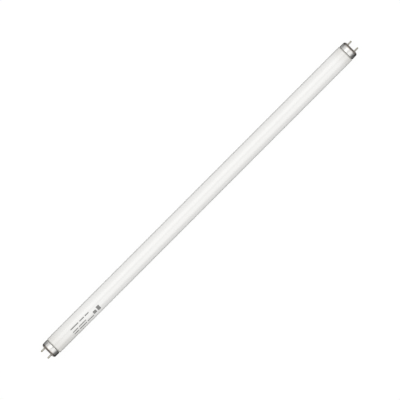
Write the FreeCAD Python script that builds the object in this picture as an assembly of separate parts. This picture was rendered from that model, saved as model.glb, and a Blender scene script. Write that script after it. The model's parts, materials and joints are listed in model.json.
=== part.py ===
import FreeCAD, Part

import math
import os

# Fluorescent lamp, lying along X with its middle at the origin, +Z up. All sizes are in millimetres.
# Each end is modelled at its cap: u runs outwards from the cap's face, r is the distance from the axis.

# whole lamp
face_to_face = 589.8  # between the outer faces of the two caps

# glass bulb
bulb_diameter = 26.0
shoulder_radius = 1.0  # rounded edge where the bulb necks in
shoulder_hollow = 0.5  # hollow between the shoulder and the neck
rim_gap = 0.1  # from the start of the neck to the rim of the cap
seal_radius = 1.0  # fused rim where the flared stem meets the neck
seal_setback = 3.0  # from the cap's face to the end of the glass
horn_radius = 9.0  # sweep of the flared stem
stem_bore = 9.4
stem_bore_length = 6.2  # straight part of the stem's bore
stem_foot_radius = 0.7
exhaust_diameter = 4.4
exhaust_length = 10.0  # sealed-off exhaust tube, from the stem's foot

# end cap, a drawn shell
cap_length = 10.0
cap_wall = 0.4
cap_step = 0.5  # how far the cap's rim lies below the bulb's surface
cap_draft = 2.0  # degrees by which the wall narrows towards the cap's face
cap_corner_radius = 2.6  # outer corner of the drawn shell
rim_radius = 0.5  # outer radius of the turned-in rim
window_width = 6.4
window_margin = 0.1  # from each end of the window to the start of the cap's corner

# cement ring between cap and neck
cement_thickness = 0.5  # at the cap's rim
cement_setback = 1.8  # from the cap's rim to the cement
cement_relief = 0.2  # from the cement to the fused rim of the glass

# insulator, a moulded plate with a neck and a head
plate_thickness = 1.6
plate_clearance = 0.1  # around the plate, inside the shell's wall
head_height = 0.3
head_overhang = 0.35
head_edge_radius = 0.15
window_clearance = 0.05

# contact pins
pin_pitch = 12.7
pin_diameter = 2.35
pin_projection = 7.1  # tip beyond the cap's face
pin_tip_radius = 0.95
collar_diameter = 3.3
collar_height = 0.4
collar_edge_radius = 0.12
shank_diameter = 1.9
shank_clearance = 0.05
rivet_diameter = 3.4
rivet_height = 0.4
pin_bore = 0.9
pin_bore_depth = 4.6

# lead wires
lead_diameter = 0.5
lead_rise_setback = 5.4  # from the end of the glass to the point where a lead turns out to its pin
lead_run_in = 1.6  # straight run before a lead enters its pin
lead_bend_radius = 3.5

# sizes that follow from those above
half_length = face_to_face / 2
bulb_radius = bulb_diameter / 2
cap_radius = bulb_radius - cap_step
cap_inner_radius = cap_radius - cap_wall
neck_radius = cap_inner_radius - cement_thickness
inner_corner_radius = cap_corner_radius - cap_wall
u_rim = -cap_length
u_glass_end = -seal_setback
u_seal = u_glass_end - seal_radius
u_plate_back = -cap_wall - plate_thickness
u_pin_back = u_plate_back - rivet_height
pin_offset = pin_pitch / 2

# the cap's wall is straight in profile, and tangent to the rounds of its rim and its corner
draft = math.radians(cap_draft)
lip_radius = cap_radius - rim_radius
rim_centre = (u_rim + rim_radius, lip_radius)
wall_reach = rim_centre[0] * math.sin(draft) + lip_radius * math.cos(draft) + rim_radius
wall_deg = 90 - cap_draft  # direction in which the wall faces

# the flared stem is an arc tangent to its bore and to the fused rim
bore_radius = stem_bore / 2
horn_centre_r = bore_radius + horn_radius
seal_centre_r = neck_radius - seal_radius
horn_reach = math.sqrt((horn_radius - seal_radius) ** 2 - (horn_centre_r - seal_centre_r) ** 2)
u_horn = u_seal - horn_reach
u_stem_foot = u_horn - stem_bore_length

axis_x = FreeCAD.Vector(1, 0, 0)
axis_z = FreeCAD.Vector(0, 0, 1)
origin = FreeCAD.Vector(0, 0, 0)


def wall_radius(u, depth):
    """The radius at u of the surface that lies this deep under the outer surface of the cap's wall."""
    return (wall_reach - depth - u * math.sin(draft)) / math.cos(draft)


face_radius = wall_radius(-cap_corner_radius, cap_corner_radius)  # flat part of the cap's face


def point(u, r):
    """A point of a right-hand profile, in the plane of X and Z."""
    return FreeCAD.Vector(half_length + u, 0, r)


def line(start, end):
    return Part.LineSegment(point(*start), point(*end)).toShape()


def arc(centre, radius, start_deg, end_deg):
    """An arc about a centre (u, r), from one angle to the other, measured from +u towards +r."""
    angles = [math.radians(a) for a in (start_deg, (start_deg + end_deg) / 2, end_deg)]
    ends = [point(centre[0] + radius * math.cos(a), centre[1] + radius * math.sin(a)) for a in angles]
    return Part.Arc(*ends).toShape()


def revolved(edges):
    """A closed profile turned about the lamp's axis."""
    face = Part.Face(Part.Wire(edges))
    return face.revolve(origin, axis_x, 360)


def rod(u_start, u_end, radius):
    """A plain round bar on the lamp's axis."""
    base = FreeCAD.Vector(half_length + u_start, 0, 0)
    return Part.makeCylinder(radius, u_end - u_start, base, axis_x)


def stadium(u_start, u_end, growth):
    """A bar with round ends, as wide and as long as the window plus this growth on each side."""
    round_radius = window_width / 2 + growth
    reach = face_radius - window_margin + growth - round_radius
    ends = [FreeCAD.Vector(half_length + u_start, side * reach, 0) for side in (-1, 1)]
    rounds = [Part.makeCylinder(round_radius, u_end - u_start, end, axis_x) for end in ends]
    corner = FreeCAD.Vector(half_length + u_start, -reach, -round_radius)
    middle = Part.makeBox(u_end - u_start, 2 * reach, 2 * round_radius, corner)
    return middle.fuse(rounds).removeSplitter()


def glass_end_edges():
    """The profile of one end of the bulb, from the tip of the exhaust tube out to the shoulder."""
    exhaust_radius = exhaust_diameter / 2
    foot = stem_foot_radius
    u_tip_centre = u_stem_foot + exhaust_length - exhaust_radius
    horn_end_deg = math.degrees(math.atan2(seal_centre_r - horn_centre_r, horn_reach))
    drop = bulb_radius - neck_radius
    bend = shoulder_radius + shoulder_hollow
    turn_deg = math.degrees(math.acos(1 - drop / bend))
    u_neck = u_rim - rim_gap
    u_shoulder = u_neck - bend * math.sin(math.radians(turn_deg))
    return [
        arc((u_tip_centre, 0), exhaust_radius, 0, 90),
        line((u_tip_centre, exhaust_radius), (u_stem_foot + foot, exhaust_radius)),
        arc((u_stem_foot + foot, exhaust_radius + foot), foot, 270, 180),
        line((u_stem_foot, exhaust_radius + foot), (u_stem_foot, bore_radius - foot)),
        arc((u_stem_foot + foot, bore_radius - foot), foot, 180, 90),
        line((u_stem_foot + foot, bore_radius), (u_horn, bore_radius)),
        arc((u_horn, horn_centre_r), horn_radius, -90, horn_end_deg),
        arc((u_seal, seal_centre_r), seal_radius, horn_end_deg, 90),
        line((u_seal, neck_radius), (u_neck, neck_radius)),
        arc((u_neck, neck_radius + shoulder_hollow), shoulder_hollow, 270, 270 - turn_deg),
        arc((u_shoulder, bulb_radius - shoulder_radius), shoulder_radius, 90 - turn_deg, 90),
    ]


def glass_tube():
    """The sealed bulb with its necks, shoulders, flared stems and exhaust tubes, as one turned profile."""
    right = Part.Wire(glass_end_edges())
    left = right.mirror(origin, axis_x)
    shoulders = [max(w.Vertexes, key=lambda v: v.Z).Point for w in (right, left)]
    tips = [min(w.Vertexes, key=lambda v: v.Z).Point for w in (right, left)]
    barrel = Part.LineSegment(*shoulders).toShape()
    centre_line = Part.LineSegment(*tips).toShape()
    edges = Part.__sortEdges__([*right.Edges, *left.Edges, barrel, centre_line])
    return revolved(edges)


def on_wall(centre, radius):
    """Where a round about this centre runs into the line of the wall."""
    return centre[0] + radius * math.sin(draft), centre[1] + radius * math.cos(draft)


def cap_cavity(clearance):
    """The space inside the shell, up to its end wall and less a clearance from its side wall."""
    u_wall = -cap_wall
    depth = cap_wall + clearance
    corner = inner_corner_radius
    corner_centre = (u_wall - corner, wall_radius(u_wall - corner, depth + corner))
    rim = (u_rim, wall_radius(u_rim, depth))
    return revolved(
        [
            line((u_rim, 0), rim),
            line(rim, on_wall(corner_centre, corner)),
            arc(corner_centre, corner, wall_deg, 0),
            line((u_wall, corner_centre[1]), (u_wall, 0)),
            line((u_wall, 0), (u_rim, 0)),
        ]
    )


def end_cap():
    """The drawn shell: a drafted wall of one thickness with a round corner, a turned-in rim and a window."""
    corner = cap_corner_radius
    corner_centre = (-corner, face_radius)
    rim_inner = rim_radius - cap_wall
    shell = revolved(
        [
            line((0, 0), (0, corner_centre[1])),
            arc(corner_centre, corner, 0, wall_deg),
            line(on_wall(corner_centre, corner), on_wall(rim_centre, rim_radius)),
            arc(rim_centre, rim_radius, wall_deg, 180),
            line((u_rim, lip_radius), (u_rim + cap_wall, lip_radius)),
            arc(rim_centre, rim_inner, 180, wall_deg),
            line(on_wall(rim_centre, rim_inner), on_wall(corner_centre, inner_corner_radius)),
            arc(corner_centre, inner_corner_radius, wall_deg, 0),
            line((-cap_wall, corner_centre[1]), (-cap_wall, 0)),
            line((-cap_wall, 0), (0, 0)),
        ]
    )
    return shell.cut(stadium(-cap_wall, 0, 0))


def insulator():
    """The plate behind the end wall, the neck through the window and the head that holds the wall."""
    blank = rod(u_plate_back, -cap_wall, cap_radius)
    plate = blank.common(cap_cavity(plate_clearance))
    neck = stadium(-cap_wall, 0, -window_clearance)
    head = stadium(0, head_height, head_overhang)
    top = [e for e in head.Edges if all(v.X > half_length + head_height / 2 for v in e.Vertexes)]
    head = head.makeFillet(head_edge_radius, top)
    body = plate.fuse([neck, head])
    for side in (-1, 1):
        hole = rod(u_plate_back, head_height, shank_diameter / 2 + shank_clearance)
        hole.translate(FreeCAD.Vector(0, side * pin_offset, 0))
        body = body.cut(hole)
    return body


def cement_ring():
    """The ring of cement between the cap and the neck of the glass."""
    u_start = u_rim + cement_setback
    u_end = u_seal - cement_relief
    outer_start = (u_start, wall_radius(u_start, cap_wall))
    outer_end = (u_end, wall_radius(u_end, cap_wall))
    return revolved(
        [
            line((u_start, neck_radius), outer_start),
            line(outer_start, outer_end),
            line(outer_end, (u_end, neck_radius)),
            line((u_end, neck_radius), (u_start, neck_radius)),
        ]
    )


def pin(side):
    """A contact pin: round nose, collar on the insulator's head, shank through it and a riveted foot."""
    radius = pin_diameter / 2
    collar = collar_diameter / 2
    edge = collar_edge_radius
    shank = shank_diameter / 2
    rivet = rivet_diameter / 2
    bore = pin_bore / 2
    u_collar = head_height + collar_height
    u_nose = pin_projection - pin_tip_radius
    u_bore_end = u_pin_back + pin_bore_depth
    turned = revolved(
        [
            line((u_bore_end, 0), (pin_projection, 0)),
            line((pin_projection, 0), (pin_projection, radius - pin_tip_radius)),
            arc((u_nose, radius - pin_tip_radius), pin_tip_radius, 0, 90),
            line((u_nose, radius), (u_collar, radius)),
            line((u_collar, radius), (u_collar, collar - edge)),
            arc((u_collar - edge, collar - edge), edge, 0, 90),
            line((u_collar - edge, collar), (head_height, collar)),
            line((head_height, collar), (head_height, shank)),
            line((head_height, shank), (u_plate_back, shank)),
            line((u_plate_back, shank), (u_plate_back, rivet)),
            arc((u_plate_back, rivet - rivet_height), rivet_height, 90, 180),
            line((u_pin_back, rivet - rivet_height), (u_pin_back, bore)),
            line((u_pin_back, bore), (u_bore_end, bore)),
            line((u_bore_end, bore), (u_bore_end, 0)),
        ]
    )
    turned.translate(FreeCAD.Vector(0, side * pin_offset, 0))
    return turned


def lead_route(side):
    """The corner points of a lead wire, from the stem's foot to the end of the bore in its pin."""
    start_y = (exhaust_diameter / 2 + bore_radius) / 2
    corners = [
        (u_stem_foot, start_y),
        (u_glass_end - lead_rise_setback, start_y),
        (u_pin_back - lead_run_in, pin_offset),
        (u_pin_back + pin_bore_depth, pin_offset),
    ]
    return [FreeCAD.Vector(half_length + u, side * y, 0) for u, y in corners]


def rounded_path(corners, radius):
    """Straight runs through the corners, joined by arcs tangent to both runs."""
    edges = []
    last = corners[0]
    for before, corner, after in zip(corners, corners[1:], corners[2:]):
        way_in = (before - corner).normalize()
        way_out = (after - corner).normalize()
        half_turn = (math.pi - way_in.getAngle(way_out)) / 2
        reach = radius * math.tan(half_turn)
        to_centre = (way_in + way_out).normalize()
        middle = corner + to_centre * (radius / math.cos(half_turn) - radius)
        first = corner + way_in * reach
        second = corner + way_out * reach
        edges.append(Part.LineSegment(last, first).toShape())
        edges.append(Part.Arc(first, middle, second).toShape())
        last = second
    edges.append(Part.LineSegment(last, corners[-1]).toShape())
    return Part.Wire(edges)


def lead_wire(side):
    """A lead wire swept along its route; the volume is compared with its section times its length."""
    path = rounded_path(lead_route(side), lead_bend_radius)
    start = path.Vertexes[0].Point
    section = Part.Wire(Part.makeCircle(lead_diameter / 2, start, axis_x))
    wire = path.makePipeShell([section], True, True)
    expected = math.pi * lead_diameter**2 / 4 * path.Length
    print(f"lead wire: bends of {lead_bend_radius} mm, volume {wire.Volume:.4f} of {expected:.4f} mm3")
    return wire


def turned_to_left(shape):
    """The same piece at the left-hand end: the right-hand end turned half round about Z."""
    copy = shape.copy()
    copy.rotate(origin, axis_z, 180)
    return copy


def end_pieces():
    """The pieces of the right-hand end by name; front is the -Y side."""
    pieces = {"end_cap": end_cap(), "insulator": insulator(), "cement_ring": cement_ring()}
    for side, name in ((-1, "front"), (1, "back")):
        pieces[f"pin_{name}"] = pin(side)
        pieces[f"lead_wire_{name}"] = lead_wire(side)
    return pieces


def left_name(name):
    """Half a turn swaps front and back."""
    if name.endswith("front"):
        return name.replace("front", "back")
    return name.replace("back", "front")


def main():
    nodes = {"glass_tube": glass_tube()}
    for name, shape in end_pieces().items():
        nodes[f"right_{name}"] = shape
        nodes[f"left_{left_name(name)}"] = turned_to_left(shape)
    os.makedirs("parts", exist_ok=True)
    for name, shape in nodes.items():
        solid = shape.Solids[0]
        solid.exportStep(f"parts/{name}.step")
        print(f"{name}: {len(shape.Solids)} solid, {solid.Volume:.2f} mm3, valid {solid.isValid()}")


main()
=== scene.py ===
import json
import math

import bmesh
import bpy
import numpy as np
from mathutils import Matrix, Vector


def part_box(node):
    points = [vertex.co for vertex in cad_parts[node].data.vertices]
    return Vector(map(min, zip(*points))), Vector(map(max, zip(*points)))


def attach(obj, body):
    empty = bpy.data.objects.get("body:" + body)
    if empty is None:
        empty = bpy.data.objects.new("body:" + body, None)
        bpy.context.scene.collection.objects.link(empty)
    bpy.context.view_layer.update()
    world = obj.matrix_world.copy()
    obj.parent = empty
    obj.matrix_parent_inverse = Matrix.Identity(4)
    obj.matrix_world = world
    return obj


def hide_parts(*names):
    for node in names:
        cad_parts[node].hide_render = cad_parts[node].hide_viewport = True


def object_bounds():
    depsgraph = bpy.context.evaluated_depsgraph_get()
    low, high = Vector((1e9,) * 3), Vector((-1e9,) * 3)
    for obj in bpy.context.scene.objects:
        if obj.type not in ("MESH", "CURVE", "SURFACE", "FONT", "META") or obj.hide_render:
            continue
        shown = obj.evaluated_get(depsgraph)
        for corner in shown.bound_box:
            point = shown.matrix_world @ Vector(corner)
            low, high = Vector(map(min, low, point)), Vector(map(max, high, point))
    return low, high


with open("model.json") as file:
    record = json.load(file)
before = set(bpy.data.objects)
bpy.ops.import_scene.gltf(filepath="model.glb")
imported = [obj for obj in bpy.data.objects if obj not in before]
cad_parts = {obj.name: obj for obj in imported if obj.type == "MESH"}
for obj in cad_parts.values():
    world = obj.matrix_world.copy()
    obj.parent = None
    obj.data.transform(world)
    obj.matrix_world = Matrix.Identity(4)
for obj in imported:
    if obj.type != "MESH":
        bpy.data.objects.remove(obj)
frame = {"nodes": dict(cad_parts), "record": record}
cadLow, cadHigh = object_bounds()
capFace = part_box("right_end_cap")[1][0]  # how far the caps' outer faces are from the middle
barrel = next(mount["dims"] for mount in frame["record"]["mounts"] if mount["name"] == "glass_band")
root = "root"
mm = 0.001
glassRadius = barrel["r_mm"] * mm
mergeDistance = 1e-7  # points of a mesh that are nearer than this become one
print("frame loaded:", len(frame["nodes"]), "nodes")


# Points of an arc: its centre (x, r) plus its radius times the cosine and sine of an even run of angles.
def arcPoints(centre, radius, startDeg, endDeg, steps=10):
    angles = np.radians(np.linspace(startDeg, endDeg, steps))
    return np.stack([centre[0] + radius * np.cos(angles), centre[1] + radius * np.sin(angles)], axis=1)


# A mesh from a grid of points. Rows run along the profile and columns run round it; quads join neighbours,
# and rows that shrink to a point are merged into a pole.
def gridPiece(name, points):
    rows, columns = points.shape[:2]
    index = np.arange(rows * columns).reshape(rows, columns)
    index = np.hstack([index, index[:, :1]])
    quads = np.stack([index[:-1, :-1], index[1:, :-1], index[1:, 1:], index[:-1, 1:]], axis=-1).reshape(-1, 4)
    return meshPiece(name, points.reshape(-1, 3), quads)


# A smooth mesh from two whole arrays, its points and the numbers of each quad's four points. Points in the
# same place are merged, and then all faces are turned outwards.
def meshPiece(name, vertices, quads):
    mesh = bpy.data.meshes.new(name)
    mesh.vertices.add(len(vertices))
    mesh.vertices.foreach_set("co", vertices.astype(np.float32).ravel())
    mesh.loops.add(quads.size)
    mesh.loops.foreach_set("vertex_index", quads.astype(np.int32).ravel())
    mesh.polygons.add(len(quads))
    mesh.polygons.foreach_set("loop_start", np.arange(0, quads.size, 4, dtype=np.int32))
    mesh.update(calc_edges=True)
    work = bmesh.new()
    work.from_mesh(mesh)
    bmesh.ops.remove_doubles(work, verts=work.verts, dist=mergeDistance)
    bmesh.ops.recalc_face_normals(work, faces=work.faces)
    work.to_mesh(mesh)
    work.free()
    mesh.polygons.foreach_set("use_smooth", np.ones(len(mesh.polygons), dtype=bool))
    piece = bpy.data.objects.new(name, mesh)
    bpy.context.scene.collection.objects.link(piece)
    return piece


# A surface turned about X: each profile point (x, r) goes round a circle of radius r.
def turnedPiece(name, profile, segments):
    angles = np.linspace(0, 2 * np.pi, segments, endpoint=False)
    x = np.repeat(profile[:, :1], segments, axis=1)
    y = profile[:, 1:] * np.cos(angles)
    z = profile[:, 1:] * np.sin(angles)
    return gridPiece(name, np.stack([x, y, z], axis=-1))


# Materials: small helpers that add and join nodes.
def newMaterial(name):
    material = bpy.data.materials.new(name)
    material.use_nodes = True
    tree = material.node_tree
    return material, tree, tree.nodes["Principled BSDF"]


def addNode(tree, kind, **values):
    node = tree.nodes.new(kind)
    for key, value in values.items():
        setattr(node, key, value)
    return node


def join(tree, source, target):
    tree.links.new(source, target)


def dress(piece, material):
    piece.data.materials.clear()
    piece.data.materials.append(material)


# The x, y and z of the shaded place, in the piece's own coordinates.
def objectPlace(tree):
    place = addNode(tree, "ShaderNodeTexCoord")
    parts = addNode(tree, "ShaderNodeSeparateXYZ")
    join(tree, place.outputs["Object"], parts.inputs[0])
    return parts.outputs


def mathNode(tree, operation, first, second=None, clamp=False):
    node = addNode(tree, "ShaderNodeMath", operation=operation, use_clamp=clamp)
    for socket, value in zip(node.inputs, (first, second)):
        if isinstance(value, (int, float)):
            socket.default_value = value
        elif value is not None:
            join(tree, value, socket)
    return node.outputs[0]


# A smooth step: toLow up to the value low, toHigh from the value high on.
def rampNode(tree, value, low, high, toLow=0.0, toHigh=1.0):
    node = addNode(tree, "ShaderNodeMapRange", interpolation_type="SMOOTHSTEP")
    join(tree, value, node.inputs["Value"])
    for socket, number in (("From Min", low), ("From Max", high), ("To Min", toLow), ("To Max", toHigh)):
        node.inputs[socket].default_value = number
    return node.outputs["Result"]


# A mix of two colours, each a tuple or another node's colour. The Mix node has a set of sockets for each
# kind of data, and those for colours are inputs 6 and 7 and output 2.
def mixColour(tree, factor, first, second):
    node = addNode(tree, "ShaderNodeMix", data_type="RGBA")
    join(tree, factor, node.inputs["Factor"])
    for socket, value in ((node.inputs[6], first), (node.inputs[7], second)):
        if isinstance(value, tuple):
            socket.default_value = (*value, 1.0)
        else:
            join(tree, value, socket)
    return node.outputs[2]


# Shared effect: grain stretched along X, as drawing and coating leave it. Height is noise on the object's
# coordinates after each is scaled, and Grain is that noise centred on 0 and multiplied by the amount.
def grainGroup():
    group = bpy.data.node_groups.new("lengthwiseGrain", "ShaderNodeTree")
    for name in ("Along", "Across", "Detail", "Amount"):
        group.interface.new_socket(name=name, in_out="INPUT", socket_type="NodeSocketFloat")
    for name in ("Grain", "Height"):
        group.interface.new_socket(name=name, in_out="OUTPUT", socket_type="NodeSocketFloat")
    given = addNode(group, "NodeGroupInput")
    result = addNode(group, "NodeGroupOutput")
    place = addNode(group, "ShaderNodeTexCoord")
    scale = addNode(group, "ShaderNodeCombineXYZ")
    join(group, given.outputs["Along"], scale.inputs[0])
    join(group, given.outputs["Across"], scale.inputs[1])
    join(group, given.outputs["Across"], scale.inputs[2])
    stretched = addNode(group, "ShaderNodeVectorMath", operation="MULTIPLY")
    join(group, place.outputs["Object"], stretched.inputs[0])
    join(group, scale.outputs[0], stretched.inputs[1])
    noise = addNode(group, "ShaderNodeTexNoise")
    noise.inputs["Scale"].default_value = 1.0
    join(group, given.outputs["Detail"], noise.inputs["Detail"])
    join(group, stretched.outputs[0], noise.inputs["Vector"])
    centred = mathNode(group, "SUBTRACT", noise.outputs["Fac"], 0.5)
    amount = mathNode(group, "MULTIPLY", centred, given.outputs["Amount"])
    join(group, amount, result.inputs["Grain"])
    join(group, noise.outputs["Fac"], result.inputs["Height"])
    return group


grain = grainGroup()


def grainNode(tree, along, across, amount=1.0, detail=3.0):
    node = addNode(tree, "ShaderNodeGroup", node_tree=grain)
    for name, value in (("Along", along), ("Across", across), ("Amount", amount), ("Detail", detail)):
        node.inputs[name].default_value = value
    return node


def bumpNode(tree, height, strength, distance):
    node = addNode(tree, "ShaderNodeBump")
    node.inputs["Strength"].default_value = strength
    node.inputs["Distance"].default_value = distance
    join(tree, height, node.inputs["Height"])
    return node.outputs["Normal"]


# The bulb: white coat seen through clear glass.
bulb = {
    "segments": 192,
    "barrelRings": 48,
    "shoulderRadius": 1.0 * mm,
    "shoulderHollow": 0.5 * mm,
    "sealRadius": 1.0 * mm,
    "neckRadius": 11.6 * mm,
    "hornRadius": 9.0 * mm,
    "hornSteps": 16,
    "boreRadius": 4.7 * mm,
    "boreLength": 6.2 * mm,
    "footRadius": 0.7 * mm,
    "footSteps": 6,
    "exhaustRadius": 2.2 * mm,
    "exhaustLength": 10.0 * mm,
    "coatColour": (0.886, 0.88, 0.862),
    "endColour": (0.785, 0.772, 0.742),
    "endFade": 20 * mm,  # how far from the shoulder the warm end tint reaches
    "endRagged": 0.1,  # how far the flow moves that tint's edge, in metres for each unit of grain
    "paintedShadeColour": (0.78, 0.77, 0.74),  # painted shade: the coat darker towards the left-hand end, where less light falls on the tube
    "paintedShadeStart": 0.21,  # distances from the middle, in metres
    "paintedShadeFull": 0.282,
    "paintedShadeBehind": 0.5,  # how much of that there is on the +Y half
    "paintedShadeFront": 11 * mm,  # how far from the axis, towards -Y, it is whole
    "bareColour": (0.52, 0.51, 0.475),
    "bareLength": 0.8 * mm,  # clear glass left beside the shoulder
    "flowAlong": 9.0,  # the coat's lengthwise flow
    "flowAcross": 160.0,
    "flowAmount": 0.05,
    "coatRoughness": 0.15,
    "coatIor": 1.5,
    "glassWeight": 1.0,
    "glassRoughness": 0.06,
    "glassIor": 1.7,
}


# Half of the bulb's profile from the exhaust tube's tip to the shoulder: straight lines joined by arcs,
# where the flare's arc is tangent to the bore and to the fused rim of the neck.
def bulbEndProfile():
    b = bulb
    shoulderX = barrel["length_mm"] * mm / 2
    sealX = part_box("glass_tube")[1][0] - b["sealRadius"]
    sealR = b["neckRadius"] - b["sealRadius"]
    hornR = b["boreRadius"] + b["hornRadius"]
    reach = math.sqrt((b["hornRadius"] - b["sealRadius"]) ** 2 - (hornR - sealR) ** 2)
    hornX = sealX - reach
    hornEnd = math.degrees(math.atan2(sealR - hornR, reach))
    footX, foot = hornX - b["boreLength"], b["footRadius"]
    tipX = footX + b["exhaustLength"] - b["exhaustRadius"]
    bend = b["shoulderRadius"] + b["shoulderHollow"]
    turn = math.degrees(math.acos(1 - (glassRadius - b["neckRadius"]) / bend))
    neckX = shoulderX + bend * math.sin(math.radians(turn))
    return np.vstack([
        arcPoints((tipX, 0), b["exhaustRadius"], 0, 90),
        arcPoints((footX + foot, b["exhaustRadius"] + foot), foot, 270, 180, b["footSteps"]),
        arcPoints((footX + foot, b["boreRadius"] - foot), foot, 180, 90, b["footSteps"]),
        arcPoints((hornX, hornR), b["hornRadius"], -90, hornEnd, b["hornSteps"]),
        arcPoints((sealX, sealR), b["sealRadius"], hornEnd, 90)[1:],
        arcPoints((neckX, b["neckRadius"] + b["shoulderHollow"]), b["shoulderHollow"], 270, 270 - turn),
        arcPoints((shoulderX, glassRadius - b["shoulderRadius"]), b["shoulderRadius"], 90 - turn, 90)[1:],
    ])


# The whole bulb: one end's profile, the straight barrel and the same end mirrored.
def makeBulb():
    end = bulbEndProfile()
    middleX = np.linspace(end[-1, 0], -end[-1, 0], bulb["barrelRings"])[1:-1]
    middle = np.stack([middleX, np.full_like(middleX, end[-1, 1])], axis=1)
    profile = np.vstack([end, middle, end[::-1] * (-1, 1)])
    piece = turnedPiece("glassBulb", profile, bulb["segments"])
    dress(piece, bulbMaterial(end[-1, 0]))
    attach(piece, root)
    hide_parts("glass_tube")


def bulbMaterial(shoulderX):
    material, tree, shader = newMaterial("coatedGlass")
    x, y = objectPlace(tree)[:2]
    fromMiddle = mathNode(tree, "ABSOLUTE", x)
    flow = grainNode(tree, bulb["flowAlong"], bulb["flowAcross"], bulb["flowAmount"])
    ragged = mathNode(tree, "MULTIPLY", flow.outputs["Grain"], bulb["endRagged"])
    reach = mathNode(tree, "ADD", fromMiddle, ragged)
    towardsLeft = mathNode(tree, "MULTIPLY", x, -1.0)
    towardsFront = mathNode(tree, "MULTIPLY", y, -1.0)
    # Painted shade: the coat's colour is darkened towards the left-hand end, and more on the -Y side, as the
    # light falls off there.
    leftShade = rampNode(tree, towardsLeft, bulb["paintedShadeStart"], bulb["paintedShadeFull"])
    frontShadeShare = rampNode(tree, towardsFront, 0.0, bulb["paintedShadeFront"], bulb["paintedShadeBehind"], 1.0)
    warm = rampNode(tree, reach, shoulderX - bulb["endFade"], shoulderX)
    bare = rampNode(tree, fromMiddle, shoulderX - bulb["bareLength"], shoulderX)
    coat = mixColour(tree, mathNode(tree, "MULTIPLY", leftShade, frontShadeShare), bulb["coatColour"], bulb["paintedShadeColour"])
    coat = mixColour(tree, warm, coat, bulb["endColour"])
    coat = mixColour(tree, bare, coat, bulb["bareColour"])
    shade = addNode(tree, "ShaderNodeHueSaturation")
    join(tree, coat, shade.inputs["Color"])
    join(tree, mathNode(tree, "ADD", flow.outputs["Grain"], 1.0), shade.inputs["Value"])
    join(tree, shade.outputs["Color"], shader.inputs["Base Color"])
    shader.inputs["Roughness"].default_value = bulb["coatRoughness"]
    shader.inputs["IOR"].default_value = bulb["coatIor"]
    shader.inputs["Coat Weight"].default_value = bulb["glassWeight"]
    shader.inputs["Coat Roughness"].default_value = bulb["glassRoughness"]
    shader.inputs["Coat IOR"].default_value = bulb["glassIor"]
    return material


makeBulb()
print("bulb made")


# The stamp: plain bars and blocks of grey ink fired on the glass, near the left-hand cap.
# Each mark is (start, length, angle, width): millimetres from the left cap's face, degrees from the top
# towards -Y, and millimetres round the glass. The other lengths are millimetres too.
stamp = {
    "marks": (
        (42.9, 14.6, 5.5, 1.5), (60.0, 8.6, 5.5, 1.5), (70.6, 7.0, 5.5, 1.5),
        (42.9, 9.6, 28.0, 1.4), (54.4, 13.6, 28.0, 1.4),
        (42.9, 8.4, 45.0, 1.6), (53.2, 13.2, 45.0, 1.6), (68.6, 11.6, 45.0, 1.6),
        (81.7, 5.4, 32.5, 4.7),
        (89.3, 5.1, 30.0, 7.2),
    ),
    "corner": 0.35,
    "points": 160,  # round a mark's outline
    "rings": (0.0, 0.3, 0.6, 0.85, 1.0),  # their sizes, from a mark's middle to its edge
    "height": 0.03,
    "seat": 0.004,  # from the glass to the underside of the ink
    "ink": (0.2, 0.2, 0.195),
    "thinInk": (0.31, 0.31, 0.3),
    "thinShare": 0.4,  # how much of the thin ink there is at an average place
    "grain": 1600.0,
    "grainAmount": 1.6,
    "grainDetail": 2.0,
    "roughness": 0.55,
}


# One mark: rings of a rounded rectangle that grow from its middle to its edge on the outside and shrink
# again on the inside, all wrapped round the glass. A ring's points are evenly spaced along its outline.
def inkMark(start, length, angle, width, leftFace):
    corner = stamp["corner"]
    boxX, boxY = length / 2 - corner, width / 2 - corner
    rounds = [arcPoints((boxX * signX, boxY * signY), corner, start90, start90 + 90)
              for signX, signY, start90 in ((1, 1, 0), (-1, 1, 90), (-1, -1, 180), (1, -1, 270))]
    path = np.vstack(rounds + [rounds[0][:1]])
    walked = np.concatenate([[0.0], np.cumsum(np.hypot(*np.diff(path, axis=0).T))])
    even = np.linspace(0.0, walked[-1], stamp["points"] + 1)[:-1]
    outline = np.stack([np.interp(even, walked, path[:, i]) for i in (0, 1)], axis=1)
    growth = np.array(stamp["rings"] + stamp["rings"][::-1])
    lift = np.repeat((1.0, 0.0), len(stamp["rings"])) * stamp["height"] + stamp["seat"]
    flat = growth[:, None, None] * outline[None]
    radius = glassRadius / mm + lift[:, None]
    turn = np.radians(angle) + flat[:, :, 1] / (glassRadius / mm)
    x = leftFace / mm + start + length / 2 + flat[:, :, 0]
    return np.stack([x, -radius * np.sin(turn), radius * np.cos(turn)], axis=-1) * mm


def makeStamp():
    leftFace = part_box("left_end_cap")[0][0]
    grids = [inkMark(*mark, leftFace) for mark in stamp["marks"]]
    pieces = [gridPiece(f"stampMark{i}", grid) for i, grid in enumerate(grids)]
    with bpy.context.temp_override(active_object=pieces[0], selected_editable_objects=pieces):
        bpy.ops.object.join()
    piece = pieces[0]
    piece.name = "stampMarks"
    dress(piece, stampMaterial())
    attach(piece, root)


def stampMaterial():
    material, tree, shader = newMaterial("firedInk")
    density = grainNode(tree, stamp["grain"], stamp["grain"], stamp["grainAmount"], stamp["grainDetail"])
    mask = mathNode(tree, "ADD", density.outputs["Grain"], stamp["thinShare"], clamp=True)
    join(tree, mixColour(tree, mask, stamp["ink"], stamp["thinInk"]), shader.inputs["Base Color"])
    shader.inputs["Roughness"].default_value = stamp["roughness"]
    return material


makeStamp()
print("stamp made")


# What the metals share.
metal = {
    "cloudScale": 160.0,
    "dullShare": 0.3,  # how much of the dull colour there is at an average place
    "tintAndShadeWander": 0.5,  # millimetres by which the edge of the tint and painted shade moves to and fro
    "roughSpread": 0.3,
    "bumpStrength": 0.25,
    "bumpHeight": 0.02,  # millimetres
}
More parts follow.
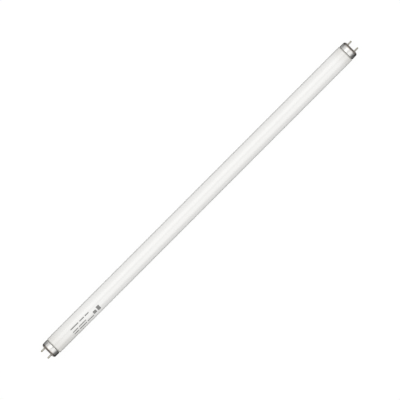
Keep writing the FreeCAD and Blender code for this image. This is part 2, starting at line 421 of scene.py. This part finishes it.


# A metal: its colour goes to the dull one with a cloudy grain and to a second colour in a band along X, which
# on the caps is painted shade at the corner and on the pins and leads is their own colour; its roughness and
# bump follow the marks of its drawing or turning. The band is given in millimetres beyond the face of the
# cap: where that colour starts, is full, starts to fall and ends.
def metalMaterial(name, values):
    material, tree, shader = newMaterial(name)
    marks = grainNode(tree, values["marksAlong"], values["marksAcross"])
    cloud = grainNode(tree, metal["cloudScale"], metal["cloudScale"], values["cloudiness"])
    dull = mathNode(tree, "ADD", cloud.outputs["Grain"], metal["dullShare"], clamp=True)
    colour = mixColour(tree, dull, values["colour"], values["dullColour"])
    fromMiddle = mathNode(tree, "ABSOLUTE", objectPlace(tree)[0])
    wander = mathNode(tree, "MULTIPLY", cloud.outputs["Grain"], metal["tintAndShadeWander"] * mm)
    reach = mathNode(tree, "ADD", fromMiddle, wander)
    start, full, fall, gone = (capFace + edge * mm for edge in values["tintAndShadeBand"])
    rise = rampNode(tree, reach, start, full)
    tintedAndShaded = mathNode(tree, "MULTIPLY", rise, rampNode(tree, reach, fall, gone, 1.0, 0.0))
    join(tree, mixColour(tree, tintedAndShaded, colour, values["tintAndPaintedShade"]), shader.inputs["Base Color"])
    uneven = mathNode(tree, "MULTIPLY", marks.outputs["Grain"], metal["roughSpread"])
    rough = mathNode(tree, "ADD", uneven, values["roughness"], clamp=True)
    join(tree, rough, shader.inputs["Roughness"])
    bump = bumpNode(tree, marks.outputs["Height"], metal["bumpStrength"], metal["bumpHeight"] * mm)
    join(tree, bump, shader.inputs["Normal"])
    shader.inputs["Metallic"].default_value = 1.0
    return material


# Gives a material to each CAD node whose name holds the word.
def dressNodes(word, material):
    for name, node in frame["nodes"].items():
        if word in name:
            dress(node, material)


# The end caps: bright drawn aluminium with faint lengthwise marks, and painted shade at the rounded corner.
cap = {
    "colour": (0.7, 0.695, 0.678),
    "dullColour": (0.67, 0.66, 0.64),
    "cloudiness": 1.2,
    "tintAndPaintedShade": (0.345, 0.31, 0.28),  # painted shade: the dark reflection at the cap's rounded corner, painted into its colour
    "tintAndShadeBand": (-4.1, -2.4, -0.4, 0.0),
    "roughness": 0.26,
    "marksAlong": 60.0,
    "marksAcross": 1500.0,
}
dressNodes("end_cap", metalMaterial("drawnAluminium", cap))
print("caps dressed")

# The contact pins: brass with a dull nickel plate.
pin = {
    "colour": (0.46, 0.447, 0.4),
    "dullColour": (0.37, 0.35, 0.28),
    "cloudiness": 1.6,
    "tintAndPaintedShade": (0.38, 0.36, 0.24),  # the tip, where the plate has worn down to the brass
    "tintAndShadeBand": (4.6, 6.8, 90.0, 91.0),
    "roughness": 0.34,
    "marksAlong": 2600.0,
    "marksAcross": 300.0,
}
dressNodes("_pin_", metalMaterial("dullNickel", pin))

# The lead wires, out of sight in the caps.
lead = {
    "colour": (0.72, 0.6, 0.48),
    "dullColour": (0.5, 0.4, 0.3),
    "cloudiness": 1.4,
    "tintAndPaintedShade": (0.6, 0.57, 0.52),  # from here to its pin a lead is plain, beyond the part sealed in the glass
    "tintAndShadeBand": (-16.0, -15.0, 90.0, 91.0),
    "roughness": 0.4,
    "marksAlong": 300.0,
    "marksAcross": 2600.0,
}
dressNodes("lead_wire", metalMaterial("drawnWire", lead))
print("pins and leads dressed")


# The insulators and the cement: filled resins, with specks of filler and a slightly uneven skin.
insulator = {
    "colour": (0.045, 0.03, 0.024),
    "speck": (0.11, 0.075, 0.055),
    "specks": 1300.0,
    "roughness": 0.42,
}
cement = {
    "colour": (0.42, 0.33, 0.22),
    "speck": (0.6, 0.52, 0.4),
    "specks": 700.0,
    "roughness": 0.85,
}

# What the resins share.
resin = {
    "speckContrast": 3.0,
    "speckDetail": 4.0,
    "speckFloor": 0.25,  # grain below this shows no filler
    "bumpStrength": 0.3,
    "bumpHeight": 0.03,  # millimetres
}


# A resin: its colour goes to the speck's where the grain is above the floor, and its bump follows the grain.
def resinMaterial(name, values):
    material, tree, shader = newMaterial(name)
    scale = values["specks"]
    filler = grainNode(tree, scale, scale, resin["speckContrast"], resin["speckDetail"])
    mask = mathNode(tree, "SUBTRACT", filler.outputs["Grain"], resin["speckFloor"], clamp=True)
    join(tree, mixColour(tree, mask, values["colour"], values["speck"]), shader.inputs["Base Color"])
    bump = bumpNode(tree, filler.outputs["Height"], resin["bumpStrength"], resin["bumpHeight"] * mm)
    join(tree, bump, shader.inputs["Normal"])
    shader.inputs["Roughness"].default_value = values["roughness"]
    return material


dressNodes("insulator", resinMaterial("mouldedResin", insulator))
dressNodes("cement_ring", resinMaterial("bakedCement", cement))
print("insulators and cement dressed")


# The camera looks straight down on the tube from far away, turned so that the +X end is at the upper right.
camera = {
    "frameWidth": 0.5502,  # metres across the picture at the tube's axis
    "pixels": 400,
    "turnDeg": 45.04,
    "lens": 620.0,
    "farClip": 100.0,
    "tubeRight": -0.4,  # where the tube's middle lies from the picture's middle, in pixels
    "tubeUp": 0.3,
}


# Its height is the lens over the sensor's width, times the width of the frame.
def makeCamera():
    data = bpy.data.cameras.new("photoCamera")
    data.lens = camera["lens"]
    data.clip_end = camera["farClip"]
    item = bpy.data.objects.new("photoCamera", data)
    bpy.context.scene.collection.objects.link(item)
    turn = math.radians(camera["turnDeg"])
    right = np.array([math.cos(turn), -math.sin(turn), 0.0])
    up = np.array([math.sin(turn), math.cos(turn), 0.0])
    pixel = camera["frameWidth"] / camera["pixels"]
    place = -(camera["tubeRight"] * right + camera["tubeUp"] * up) * pixel
    place[2] = camera["lens"] / data.sensor_width * camera["frameWidth"]
    item.location = place
    item.rotation_euler = (0.0, 0.0, -turn)
    bpy.context.scene.camera = item


makeCamera()
print("camera made")


# The studio: pale floor, white surround, two long lamps, and round the tube a tent that only reflections see.
# Lengths are in metres, and a tone of 1 is white.
studio = {
    "white": (1.0, 1.0, 1.0, 1.0),
    "floorHalf": 12.0,
    "floorTone": 0.85,
    "floorGlow": 1.02,
    "shadowShare": 0.1,  # how much of the floor's white comes from the lamps, and so can be shaded
    "surroundFill": 0.9,
    "lampLength": 1.8,
    "lampDistance": 0.9,
    # each lamp: its edges in degrees from straight up towards -Y, its brightness, its shift along +X
    "lamps": (("leftLamp", -64.0, -6.0, 0.22, 0.0), ("rightLamp", 6.0, 52.0, 0.12, 0.15)),
    "tentRadius": 1.0,
    "tentHalfLength": 0.6,
    "archSteps": 61,
    "tentTone": 0.16,
    # each panel of the tent: degrees where its glow starts, is full, starts to fall and ends; how bright
    "panels": (
        (-130.0, -54.0, 56.0, 82.0, 0.86),
        (-56.0, -34.0, -12.0, 2.0, 0.68),
        (8.0, 20.0, 46.0, 62.0, 0.4),
    ),
    "wallTones": (0.8, 0.04),  # the tent's end walls, low down and above
    "wallHeights": (0.16, 0.32),  # between which they go from one to the other
    "cardTone": 0.1,
    "cardReach": 0.006,  # beyond the pins
    "cardHeights": (0.008, 0.016),  # its lower and upper edge, above the axis
    "cardHalfWidth": 0.1,
    # each strip on the floor: its side, its tone beside the tube and far out, and where it goes from one to
    # the other
    "strips": (("stripBack", 1, 0.1, 0.72, 0.022, 0.06), ("stripFront", -1, 0.04, 0.24, 0.026, 0.08)),
    "stripLift": 0.001,  # above the floor
    "stripGap": 0.016,
    "stripStop": (-0.002, 0.002),  # beyond the cap's face
    # past the cap: a tone, and the distances beyond the cap's face between which it turns white
    "stripPast": (0.04, 0.02, 0.07),
    # the tile's painted shadow of the tube past the cap: its tone, and where it turns white
    "shadowTilePast": (0.35, 0.0, 0.03),
    "tileLift": 0.0005,  # above the strips
    "tileHalfWidth": 0.025,
}


# Shows the first shader to rays that show the background, which are camera, glossy and transmission rays,
# and the other to all the rest.
def lightPathSwitch(tree, seen, other):
    path = addNode(tree, "ShaderNodeLightPath")
    shown = mathNode(tree, "MAXIMUM", path.outputs["Is Camera Ray"], path.outputs["Is Glossy Ray"])
    shown = mathNode(tree, "MAXIMUM", shown, path.outputs["Is Transmission Ray"])
    mix = addNode(tree, "ShaderNodeMixShader")
    join(tree, shown, mix.inputs[0])
    join(tree, other, mix.inputs[1])
    join(tree, seen, mix.inputs[2])
    return mix.outputs[0]


def makeWorld():
    world = bpy.data.worlds.new("whiteSurround")
    bpy.context.scene.world = world
    world.use_nodes = True
    tree = world.node_tree
    tree.nodes.clear()
    fill = addNode(tree, "ShaderNodeBackground")
    fill.inputs["Strength"].default_value = studio["surroundFill"]
    shown = addNode(tree, "ShaderNodeBackground")
    for node in (fill, shown):
        node.inputs["Color"].default_value = studio["white"]
    output = addNode(tree, "ShaderNodeOutputWorld")
    join(tree, lightPathSwitch(tree, shown.outputs[0], fill.outputs[0]), output.inputs["Surface"])


def emptyMaterial(name):
    material = bpy.data.materials.new(name)
    material.use_nodes = True
    tree = material.node_tree
    tree.nodes.clear()
    return material, tree, addNode(tree, "ShaderNodeOutputMaterial")


def stagePiece(name, corners, faces, material):
    mesh = bpy.data.meshes.new(name)
    mesh.from_pydata(corners, [], faces)
    item = bpy.data.objects.new(name, mesh)
    bpy.context.scene.collection.objects.link(item)
    dress(item, material)
    return item


oneQuad = [(0, 1, 2, 3)]  # the face of a flat piece with four corners


# The floor shows its own glow mixed with a little lamplight, so that it is white and still takes a shadow.
def makeFloor():
    material, tree, output = emptyMaterial("paleFloor")
    lit = addNode(tree, "ShaderNodeBsdfDiffuse")
    lit.inputs["Color"].default_value = studio["white"]
    plain = addNode(tree, "ShaderNodeBsdfDiffuse")
    plain.inputs["Color"].default_value = (studio["floorTone"],) * 3 + (1.0,)
    glow = addNode(tree, "ShaderNodeEmission")
    glow.inputs["Strength"].default_value = studio["floorGlow"]
    seen = addNode(tree, "ShaderNodeMixShader")
    seen.inputs[0].default_value = studio["shadowShare"]
    join(tree, glow.outputs[0], seen.inputs[1])
    join(tree, lit.outputs[0], seen.inputs[2])
    join(tree, lightPathSwitch(tree, seen.outputs[0], plain.outputs[0]), output.inputs["Surface"])
    half, low = studio["floorHalf"], cadLow[2]
    corners = [(-half, -half, low), (half, -half, low), (half, half, low), (-half, half, low)]
    stagePiece("paleFloor", corners, oneQuad, material)


# A lamp: an area light whose edges lie at two angles from straight up, measured towards -Y at the tube. Its
# power is its brightness times pi times its area.
def makeLamp(name, startDeg, endDeg, brightness, shiftX):
    distance = studio["lampDistance"]
    middle = math.radians((startDeg + endDeg) / 2)
    data = bpy.data.lights.new(name, "AREA")
    data.shape = "RECTANGLE"
    data.size = studio["lampLength"]
    data.size_y = 2 * distance * math.tan(math.radians(endDeg - startDeg) / 2)
    data.energy = brightness * math.pi * data.size * data.size_y
    item = bpy.data.objects.new(name, data)
    item.location = (shiftX, -distance * math.sin(middle), distance * math.cos(middle))
    item.rotation_euler = (-middle, 0.0, 0.0)
    item.visible_camera = False
    item.visible_glossy = False
    bpy.context.scene.collection.objects.link(item)


# A piece of the stage that only reflections see.
def reflectedPiece(name, corners, faces, material):
    item = stagePiece(name, corners, faces, material)
    item.visible_camera = False
    item.visible_diffuse = False
    item.visible_shadow = False
    item.visible_transmission = False


# A glowing material. Its strength is a number, or a function that works it out from the place on the piece.
def glowMaterial(name, strength):
    material, tree, output = emptyMaterial(name)
    glow = addNode(tree, "ShaderNodeEmission")
    if callable(strength):
        join(tree, strength(tree, *objectPlace(tree)), glow.inputs["Strength"])
    else:
        glow.inputs["Strength"].default_value = strength
    join(tree, glow.outputs[0], output.inputs["Surface"])
    return material


# The arch: its tone, plus for each panel its brightness times a smooth rise and a smooth fall over the
# angle from straight up towards -Y.
def archStrength(tree, x, y, z):
    angle = mathNode(tree, "ARCTAN2", mathNode(tree, "MULTIPLY", y, -1.0), z)
    degrees = mathNode(tree, "DEGREES", angle)
    total = studio["tentTone"]
    for start, full, fall, gone, brightness in studio["panels"]:
        rise = rampNode(tree, degrees, start, full, 0.0, brightness)
        keep = rampNode(tree, degrees, fall, gone, 1.0, 0.0)
        total = mathNode(tree, "ADD", mathNode(tree, "MULTIPLY", rise, keep), total)
    return total


# The tent's end walls: bright low down and dark above.
def wallStrength(tree, x, y, z):
    return rampNode(tree, z, *studio["wallHeights"], *studio["wallTones"])


# How far a place lies beyond the nearer cap's face.
def beyondCap(tree, x):
    return mathNode(tree, "SUBTRACT", mathNode(tree, "ABSOLUTE", x), capFace)


# Painted shadow: past the cap the tile is grey, standing for the tube's shadow on the floor as reflections
# see it, and further out it turns white.
def shadowTileStrength(tree, x, y, z):
    tone, whiteFrom, whiteFull = studio["shadowTilePast"]
    return rampNode(tree, beyondCap(tree, x), whiteFrom, whiteFull, tone, 1.0)


# A strip on the floor: beside the tube its tone changes with the distance from the tube, and past the cap's
# face it is dark and then turns white. The two tones are mixed over a short way at the face.
def stripStrength(nearTone, farTone, nearY, farY):
    def strengthAt(tree, x, y, z):
        pastTone, whiteFrom, whiteFull = studio["stripPast"]
        beyond = beyondCap(tree, x)
        tone = rampNode(tree, mathNode(tree, "ABSOLUTE", y), nearY, farY, nearTone, farTone)
        past = rampNode(tree, beyond, whiteFrom, whiteFull, pastTone, 1.0)
        beside = mathNode(tree, "MULTIPLY", tone, rampNode(tree, beyond, *studio["stripStop"], 1.0, 0.0))
        behind = mathNode(tree, "MULTIPLY", past, rampNode(tree, beyond, *studio["stripStop"], 0.0, 1.0))
        return mathNode(tree, "ADD", beside, behind)
    return strengthAt


# The tent is half a cylinder about X, from the axis' height up, with walls at its ends that reach the floor.
def makeTent():
    radius, length = studio["tentRadius"], studio["tentHalfLength"]
    angles = np.radians(np.linspace(-90, 90, studio["archSteps"]))
    arch = np.stack([-radius * np.sin(angles), radius * np.cos(angles)], axis=1)
    left, right = (np.insert(arch, 0, x, axis=1) for x in (-length, length))
    count = len(arch)
    first = np.arange(count - 1)
    faces = np.stack([first, first + 1, count + first + 1, count + first], axis=1).tolist()
    reflectedPiece("tentArch", np.vstack([left, right]), faces, glowMaterial("tentCloth", archStrength))
    wallMaterial = glowMaterial("tentEnd", wallStrength)
    cardMaterial = glowMaterial("darkCard", studio["cardTone"])
    shadowTileMaterial = glowMaterial("paintedShadowTile", shadowTileStrength)
    for name, way, edge in (("Left", -1, left), ("Right", 1, right)):
        makeWall("tentEnd" + name, edge, wallMaterial)
        makeCard("card" + name, way, cardMaterial)
        makeShadowTile("tile" + name, way, shadowTileMaterial)
    for strip in studio["strips"]:
        makeStrip(*strip)


def stripLevel():
    return cadLow[2] + studio["stripLift"]


# An end wall: the arch's edge and two corners below its feet.
def makeWall(name, edge, material):
    feet = edge[[-1, 0]]
    feet[:, 2] = stripLevel()
    corners = np.vstack([edge, feet])
    reflectedPiece(name, corners, [tuple(range(len(corners)))], material)


# A card: upright, across the lamp, a little beyond the pins.
def makeCard(name, way, material):
    x, half = way * (cadHigh[0] + studio["cardReach"]), studio["cardHalfWidth"]
    bottom, top = studio["cardHeights"]
    corners = [(x, -half, bottom), (x, half, bottom), (x, half, top), (x, -half, top)]
    reflectedPiece(name, corners, oneQuad, material)


# A tile: flat, just above the strips, from the cap's face to the end wall. It is a painted shadow that only
# reflections see.
def makeShadowTile(name, way, material):
    near, far, half = way * capFace, way * studio["tentHalfLength"], studio["tileHalfWidth"]
    z = stripLevel() + studio["tileLift"]
    corners = [(near, -half, z), (near, half, z), (far, half, z), (far, -half, z)]
    reflectedPiece(name, corners, oneQuad, material)


# A strip: flat, just above the floor, along the lamp, from close beside it out to below the arch's foot.
def makeStrip(name, way, *tones):
    length, z = studio["tentHalfLength"], stripLevel()
    near, far = way * studio["stripGap"], way * studio["tentRadius"]
    corners = [(-length, near, z), (length, near, z), (length, far, z), (-length, far, z)]
    reflectedPiece(name, corners, oneQuad, glowMaterial(name, stripStrength(*tones)))


makeWorld()
makeFloor()
for lamp in studio["lamps"]:
    makeLamp(*lamp)
makeTent()
bpy.context.scene.view_settings.view_transform = "Standard"
print("studio made")
